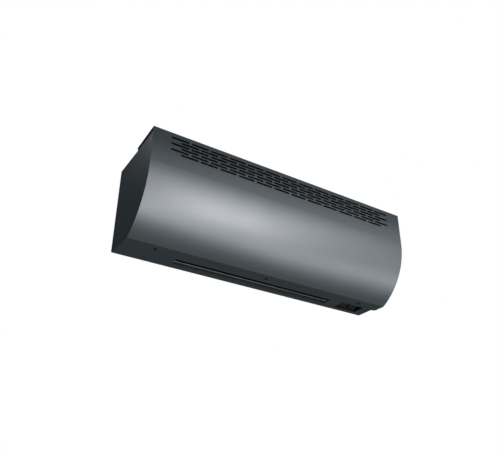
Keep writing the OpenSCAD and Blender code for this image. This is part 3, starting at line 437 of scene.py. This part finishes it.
slot_of = {part["node"]: part["material_slot"] for part in frame["record"]["subparts"]}
slot_of.update(dict.fromkeys(("back_panel", "bottom_panel", "outlet_guard_rods"), "chassis_paint"))
# The end panels get the darker, painted-shade copy of the casing paint
slot_of.update(dict.fromkeys(("left_side_panel", "right_side_panel"), "end_paint"))

for name, node in frame["nodes"].items():
    node.data.materials.clear()
    node.data.materials.append(FINISHES[slot_of[name]].material)


# Soft edges on the moulded, cast and laminated nodes

EDGE_WIDTHS = {
    "switch_tray": 0.3, "fan_switch_body": 0.4, "heat_switch_body": 0.4, "terminal_block": 0.5,
    "motor_core": 0.2, "inner_motor_bridge": 0.5, "outer_motor_bridge": 0.5,
}
SHARP = math.radians(30)


def soften(node, width):
    """Rounds a node's sharp edges by that width."""
    weld = node.modifiers.new("weld", "WELD")
    weld.merge_threshold = 0.002 * MM
    bevel = node.modifiers.new("soft_edges", "BEVEL")
    bevel.width = width
    bevel.segments = 2
    bevel.limit_method = "ANGLE"
    bevel.angle_limit = SHARP
    bevel.use_clamp_overlap = False
    bevel.harden_normals = True


for name, width in EDGE_WIDTHS.items():
    soften(frame["nodes"][name], width * MM)


# Pieces modelled here in place of plain solids

def loft(name, skins, body, slot, node):
    """Closed skins, each through rings of points, which stand for a node and ride on its body."""
    points, faces = [], []
    for rings in skins:
        start, count = len(points), len(rings[0])
        points += [tuple(point) for ring in rings for point in ring]
        faces += [tuple(range(start, start + count))[::-1], tuple(range(len(points) - count, len(points)))]
        for i in range(len(rings) - 1):
            for k in range(count):
                a, b = start + i * count + k, start + i * count + (k + 1) % count
                faces.append((a, b, b + count, a + count))
    mesh = bpy.data.meshes.new(name)
    mesh.from_pydata(points, [], faces)
    mesh.shade_smooth()
    mesh.set_sharp_from_angle(angle=math.radians(50))
    mesh.materials.append(FINISHES[slot].material)
    piece = bpy.data.objects.new(name, mesh)
    scene.collection.objects.link(piece)
    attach(piece, body)
    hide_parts(node)
    return piece


def rounded_share(share, corner):
    """How far a rounded end has swelled, 0 to 1, at a share of the length with ends of that share."""
    near = min(share, 1 - share, corner) / corner
    return math.sqrt(1 - (1 - near) ** 2)


SEAL_T = 6 * MM
SEAL_STATIONS, SEAL_RING = 60, 24
SEAL_GAP = 0.15 * MM
SEAL_SQUEEZE = 0.35 * MM
SEAL_PIT, SEAL_PIT_PITCH = 0.12 * MM, 1.5 * MM
SEAL_END_SHARE = 0.012
SEAL_SQUARENESS = 0.8
SEAL_THINNING, SEAL_LOWERING = 0.3, 0.2


def foam_seal(name, outer_x, inner_x):
    """A foam strip, squeezed between the top sheet and the cover's flange so that its sides swell."""
    low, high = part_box("top_seals")
    fall = FLANGE_FALL * (high.y - low.y) / (FLANGE_REAR - cover_low.y)
    middle, half = (outer_x + inner_x) / 2, abs(outer_x - inner_x) / 2 - SEAL_SQUEEZE - SEAL_PIT
    rings = []
    for i in range(SEAL_STATIONS + 1):
        share = i / SEAL_STATIONS
        y = low.y + (high.y - low.y) * share
        swell = rounded_share(share, SEAL_END_SHARE)
        tall = (high.z - low.z - fall * share) / 2 - SEAL_GAP
        centre = low.z + SEAL_GAP + tall
        ring = []
        for k in range(SEAL_RING):
            turn = TURN * k / SEAL_RING
            across, up = math.cos(turn), math.sin(turn)
            square = max(abs(across), abs(up)) ** SEAL_SQUARENESS
            bulge = SEAL_SQUEEZE * (1 - min(1, abs(up / square)) ** 2)
            x = half * min(1, max(-1, across / square)) + math.copysign(bulge, across)
            x *= 1 - SEAL_THINNING * (1 - swell)
            z = tall * min(1, max(-1, up / square)) * (1 - SEAL_LOWERING * (1 - swell))
            point = Vector((middle + x, y, centre + z))
            point.x += SEAL_PIT * noise.noise(point / SEAL_PIT_PITCH)
            ring.append(point)
        rings.append(ring)
    return loft(name, [rings], "casing", "foam", "top_seals")


seal_low, seal_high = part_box("top_seals")
foam_seal("left_foam_seal", seal_low.x, seal_low.x + SEAL_T)
foam_seal("right_foam_seal", seal_high.x, seal_high.x - SEAL_T)


ROCKER_R = 11.7 * MM
ROCKER_VALLEY = 4 * MM
ROCKER_EDGE = 6.4 * MM
ROCKER_BACK = 1 * MM
ROCKER_DISH = 0.5 * MM
ROCKER_W = 19 * MM
ROCKER_CORNER = 0.7 * MM
STEM_HALF, STEM_TOP = 2 * MM, 7 * MM
PIN_R, PIN_L = 1.5 * MM, 1.4 * MM
FACE_STEPS, END_STEPS, CORNER_STEPS, PIN_SIDES = 16, 6, 4, 16
joint_of = {joint["child"]: joint for joint in frame["joints"]}


def rocker_outline():
    """The rocker on edge, about its pivot: two dished halves that meet in a shallow valley."""
    slope = (ROCKER_EDGE - ROCKER_VALLEY) / ROCKER_R
    # The reach is where the sloping half meets the rocker's round end
    steep = 1 + slope ** 2
    reach = (math.sqrt(ROCKER_R ** 2 * steep - ROCKER_VALLEY ** 2) - ROCKER_VALLEY * slope) / steep
    outline = []
    for i in range(2 * FACE_STEPS + 1):
        share = i / FACE_STEPS - 1
        dish = ROCKER_DISH * math.sin(math.pi * abs(share))
        outline.append((reach * share, -ROCKER_VALLEY - slope * reach * abs(share) + dish))
    first = math.atan2(outline[-1][1], outline[-1][0])
    last = -math.asin(ROCKER_BACK / ROCKER_R)
    end = [(ROCKER_R * math.cos(turn), ROCKER_R * math.sin(turn))
           for turn in (first + (last - first) * i / END_STEPS for i in range(1, END_STEPS + 1))]
    back = [(STEM_HALF, -ROCKER_BACK), (STEM_HALF, STEM_TOP)]
    right = end + back
    return outline + right + [(-y, z) for y, z in reversed(right)]


def rocker(name, body, rest_angle):
    """A moulded rocker with rounded sides, a stem and two pivot pins, at rest about its pivot."""
    pivot = Vector(joint_of[body]["pos_m"])
    turned_to_rest = Matrix.Rotation(rest_angle, 3, "X")

    def placed(x, y, z):
        return pivot + turned_to_rest @ Vector((x, y, z))

    half = ROCKER_W / 2
    corners = [TURN / 4 * i / CORNER_STEPS for i in range(CORNER_STEPS + 1)]
    ends = [(half - ROCKER_CORNER * (1 - math.sin(turn)), ROCKER_CORNER * (1 - math.cos(turn)))
            for turn in corners]
    stations = [(-x, inset) for x, inset in reversed(ends)] + ends
    outline = rocker_outline()
    cap = []
    for x, inset in stations:
        factor = 1 - inset / ROCKER_R
        cap.append([placed(x, y * factor, z + inset * min(1, max(0, -z / ROCKER_VALLEY)))
                    for y, z in outline])
    pins = []
    for side in (-1, 1):
        turns = [TURN * k / PIN_SIDES for k in range(PIN_SIDES)]
        ring = [(PIN_R * math.cos(turn), PIN_R * math.sin(turn)) for turn in turns]
        pins.append([[placed(side * x, y, z) for y, z in ring] for x in (half - ROCKER_CORNER, half + PIN_L)])
    return loft(name, [cap, *pins], body, "rocker_black", body)


REST_ANGLE = math.radians(-11)
rocker("fan_rocker_cap", "fan_rocker", REST_ANGLE)
rocker("heat_rocker_cap", "heat_rocker", REST_ANGLE)


# Camera

LENS, SENSOR_W = 43.22, 36
SHIFT_X, SHIFT_Y = 0.0016, 0.008
YAW, PITCH, ROLL = (math.radians(angle) for angle in (31.945, 28.847, 0.409))
EYE = Vector((-607.4, -974.6, -583.7)) * MM
AHEAD = Vector((math.sin(YAW) * math.cos(PITCH), math.cos(YAW) * math.cos(PITCH), math.sin(PITCH)))


def looking():
    """Rotation of a camera that looks ahead, rolled about its own axis."""
    level = Vector((math.cos(YAW), -math.sin(YAW), 0))
    upright = level.cross(AHEAD)
    right = math.cos(ROLL) * level + math.sin(ROLL) * upright
    up = math.cos(ROLL) * upright - math.sin(ROLL) * level
    return Matrix((right, up, -AHEAD)).transposed()


camera = bpy.data.objects.new("camera", bpy.data.cameras.new("camera"))
scene.collection.objects.link(camera)
camera.data.sensor_width = SENSOR_W
camera.data.lens = LENS
camera.data.shift_x, camera.data.shift_y = SHIFT_X, SHIFT_Y
camera.data.clip_start, camera.data.clip_end = 0.05, 50
camera.matrix_world = Matrix.Translation(EYE) @ looking().to_4x4()
scene.camera = camera


# Studio: soft lamps in front, a dim even room, a white background and a pale floor

LAMP_TARGET = (0, -0.08, 0)
NEUTRAL, WARM = (1, 1, 1), (1, 0.89, 0.85)
LAMPS = {
    "key_lamp": ((0.13, -0.74, -0.24), 0.3, 1.9, WARM),
    "low_key_lamp": ((0.0, -1.0, -0.8), 0.5, 3.1, NEUTRAL),
    "right_near_lamp": ((0.6, -0.58, 0.0), 0.5, 0.65, NEUTRAL),
    "upper_lamp": ((0.4, -1.0, 0.0), 0.5, 1.2, NEUTRAL),
    "middle_lamp": ((0.0, -1.0, 0.0), 0.5, 0.95, NEUTRAL),
    "low_lamp": ((0.8, -1.0, -1.2), 0.5, 2.8, NEUTRAL),
    "right_lamp": ((1.3, -1.0, -0.8), 0.5, 3.0, NEUTRAL),
    "back_lamp": ((0.9, 1.3, 0.75), 0.5, 16.0, NEUTRAL),
    "far_right_lamp": ((1.6, 0.3, 0.6), 0.6, 5.0, NEUTRAL),
    "end_lamp": ((-0.5, 0.05, 0.32), 0.2, 0.17, NEUTRAL),
}
ROOM = (0.085, 0.103, 0.114)
WHITE = (1, 1, 1)
FLOOR_Z = -2.2
FLOOR_SIZE = 14
FLOOR_PALE = (0.8, 0.8, 0.8)
FLOOR_GLOW = 0.95


def lamp(name, place, size, watts, colour):
    """A soft square lamp at a place, turned towards the part."""
    data = bpy.data.lights.new(name, "AREA")
    data.size = size
    data.energy = watts
    data.color = colour
    made = bpy.data.objects.new(name, data)
    made.location = place
    made.rotation_mode = "QUATERNION"
    made.rotation_quaternion = (Vector(LAMP_TARGET) - Vector(place)).to_track_quat("-Z", "Y")
    made.visible_camera = False
    scene.collection.objects.link(made)


for name, settings in LAMPS.items():
    lamp(name, *settings)


def studio_world():
    """White to the camera and through glass, a dim even room to everything else."""
    world = bpy.data.worlds.new("studio")
    world.use_nodes = True
    sky = Nodes(world.node_tree, cleared=True)
    seen = sky.seen_by("Camera") + sky.seen_by("Transmission")
    dim = sky.node("ShaderNodeBackground", {}, (ROOM,))
    white = sky.node("ShaderNodeBackground", {}, (WHITE,))
    shown = sky.node("ShaderNodeMixShader", {}, (seen.clamped(), dim, white))
    sky.node("ShaderNodeOutputWorld", {}, (shown,))
    return world


def pale_floor():
    """A plain floor under the part, pale to the camera and darker only where a shadow falls."""
    mesh = bpy.data.meshes.new("floor")
    half = FLOOR_SIZE / 2
    mesh.from_pydata([(-half, -half, FLOOR_Z), (half, -half, FLOOR_Z), (half, half, FLOOR_Z),
                      (-half, half, FLOOR_Z)], [], [(0, 1, 2, 3)])
    material = bpy.data.materials.new("pale_floor")
    material.use_nodes = True
    nodes = Nodes(material.node_tree, cleared=True)
    matt = nodes.node("ShaderNodeBsdfDiffuse", {}, (FLOOR_PALE,))
    glow = nodes.node("ShaderNodeEmission", {}, (tinted(WHITE, FLOOR_GLOW),))
    both = nodes.node("ShaderNodeAddShader", {}, (matt, glow))
    seen = nodes.seen_by("Camera") + nodes.seen_by("Transmission")
    shown = nodes.node("ShaderNodeMixShader", {}, (seen.clamped(), matt, both))
    nodes.node("ShaderNodeOutputMaterial", {}, (shown,))
    mesh.materials.append(material)
    floor = bpy.data.objects.new("floor", mesh)
    scene.collection.objects.link(floor)


scene.world = studio_world()
pale_floor()
scene.view_settings.view_transform = "Standard"
